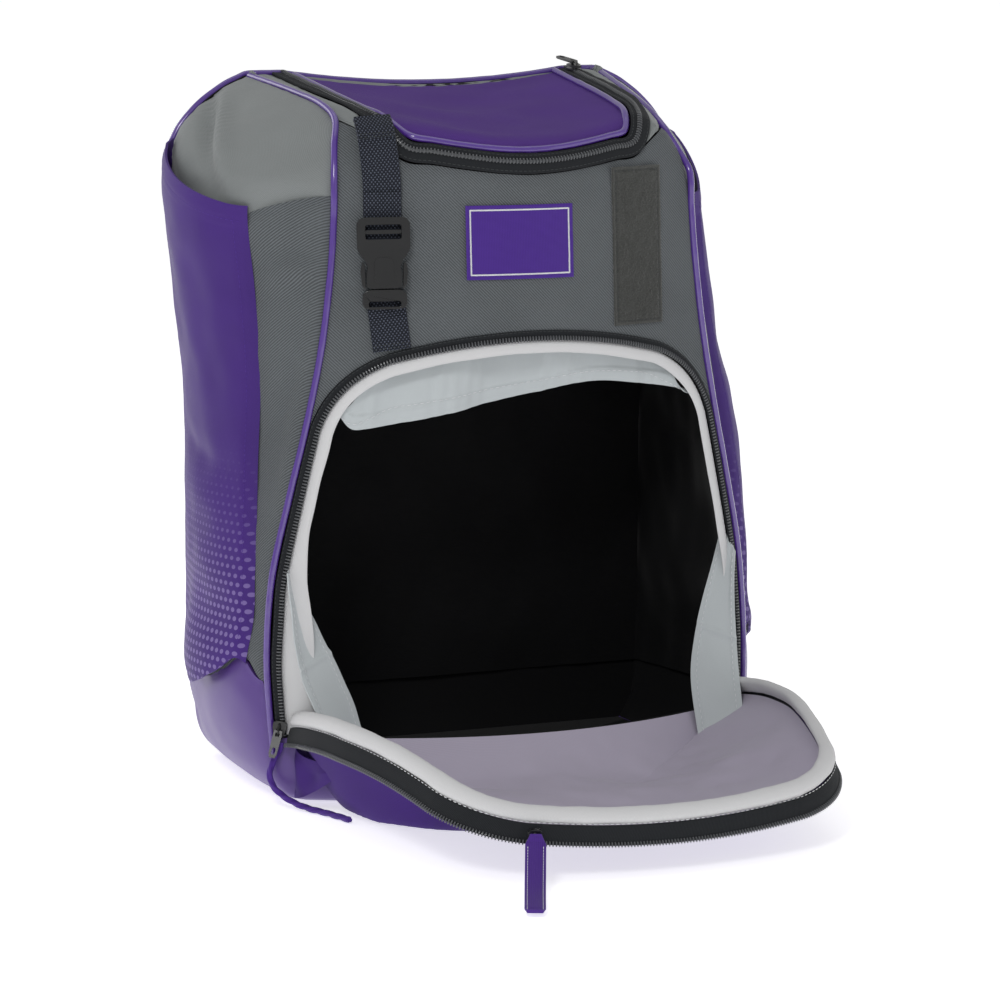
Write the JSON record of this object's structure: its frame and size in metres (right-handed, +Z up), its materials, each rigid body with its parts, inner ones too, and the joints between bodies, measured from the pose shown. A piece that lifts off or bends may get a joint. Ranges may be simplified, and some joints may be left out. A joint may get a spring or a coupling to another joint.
{
  "type": "baseball bat backpack",
  "caption": "Soft backpack for baseball kit with side bat sleeves, a sagging top lid, a buckled front strap and an arched front door let down onto the floor.",
  "frame": {"origin": "middle of the underside of the base, on the floor the bag stands on", "axes": "+Z up, the front opening and the let-down door face -Y, the shoulder straps face +Y, +X to the right as seen from the front"},
  "size_m": [0.4122, 0.5311, 0.4692],
  "materials": {
    "purple": "woven polyester, matt",
    "boot": "coated woven polyester with a soft sheen",
    "piping": "glossy coated piping",
    "twill": "diagonal twill, matt",
    "grey": "plain brushed weave",
    "black": "plain weave and zip tape, matt",
    "plastic": "moulded, satin",
    "binding": "padded light binding",
    "satin": "satin weave with a sheen",
    "webbing": "flecked ribbed webbing",
    "fuzz": "brushed loop pile",
    "lavender": "smooth coated lining"
  },
  "bodies": {
    "root": {"base_boot": "boot", "back_panel": "black", "lid": "purple", "top_yoke": "grey", "front_panel": "twill", "side_panel_left": "twill", "side_panel_right": "twill", "lid_piping": "piping", "lid_zipper": "black", "seam_piping_left": "piping", "seam_piping_right": "piping", "back_piping": "piping", "opening_zipper": "black", "opening_binding": "binding", "compartment_lining": "black", "bat_sleeve_left": "purple", "bat_sleeve_right": "purple", "door_zipper": "black", "door_binding": "binding", "door_panel": "purple", "door_lining": "lavender", "door_stay_left": "satin", "door_stay_right": "satin", "inner_pocket": "satin", "webbing_upper": "webbing", "webbing_lower": "webbing", "buckle_socket": "plastic", "buckle_clip": "plastic", "loop_strip": "fuzz", "patch": "purple", "door_slider": "plastic", "pull_tag": "purple", "corner_slider": "plastic", "corner_cord": "purple", "lid_slider": "plastic", "shoulder_strap_left": "black", "shoulder_strap_right": "black", "strap_webbing_left": "webbing", "strap_webbing_right": "webbing", "grab_handle": "webbing"}
  },
  "joints": []
}
